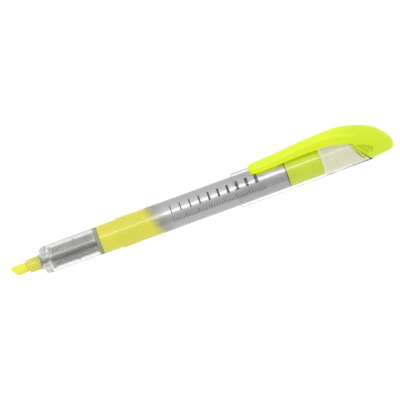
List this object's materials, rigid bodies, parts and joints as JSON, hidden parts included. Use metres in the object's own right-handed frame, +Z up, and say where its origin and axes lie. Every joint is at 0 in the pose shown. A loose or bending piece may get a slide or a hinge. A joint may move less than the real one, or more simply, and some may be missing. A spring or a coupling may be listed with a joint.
{
  "type": "liquid ink highlighter",
  "caption": "Slim chisel-nib highlighter with a clear front over a finned ink collector, silver-wrapped barrel, and a clear cap with a lime clip posted on the rear.",
  "frame": {"origin": "on the pen's axis, at the barrel step that stops the mouth of the cap when the pen is capped", "axes": "+X along the pen towards the nib, +Z up, the pen lying on its side with the clip towards -Y and a little down"},
  "size_m": [0.1515, 0.0175, 0.0134],
  "materials": {
    "nib_fibre": "matte, pressed fibre soaked with fluorescent yellow ink",
    "clear_front_plastic": "clear, glossy",
    "collector_plastic": "satin pale grey moulding",
    "seal_elastomer": "matte, grey-green",
    "clear_barrel_plastic": "clear, glossy",
    "metallic_film": "satin metallised film with a dark printed gauge",
    "ink": "fluorescent yellow liquid",
    "lime_plastic": "glossy lime moulding",
    "clear_cap_plastic": "clear, glossy, faintly smoky",
    "seal_plastic": "translucent natural polypropylene"
  },
  "bodies": {
    "pen": {"chisel_nib": "nib_fibre", "nib_holder": "clear_front_plastic", "front_section": "clear_front_plastic", "ink_collector": "collector_plastic", "feed_rod": "nib_fibre", "joint_ring": "seal_elastomer", "barrel": "clear_barrel_plastic", "barrel_film": "metallic_film", "ink_charge": "ink", "rear_plug": "lime_plastic"},
    "cap": {"cap_tube": "clear_cap_plastic", "inner_cap": "seal_plastic", "cap_crown": "lime_plastic"},
    "clip": {"clip_arm": "lime_plastic"}
  },
  "joints": [
    {"name": "cap_slide", "type": "slide", "parent": "pen", "child": "cap", "axis": [-1, 0, 0], "range_m": [0, 0.04]},
    {"name": "clip_flex", "type": "hinge", "parent": "cap", "child": "clip", "pos_m": [-0.0924, -0.00985, -0.00264], "axis": [0, 0.2588, -0.9659], "range_deg": [0, 5], "stiffness_Nm_per_rad": 2}
  ]
}
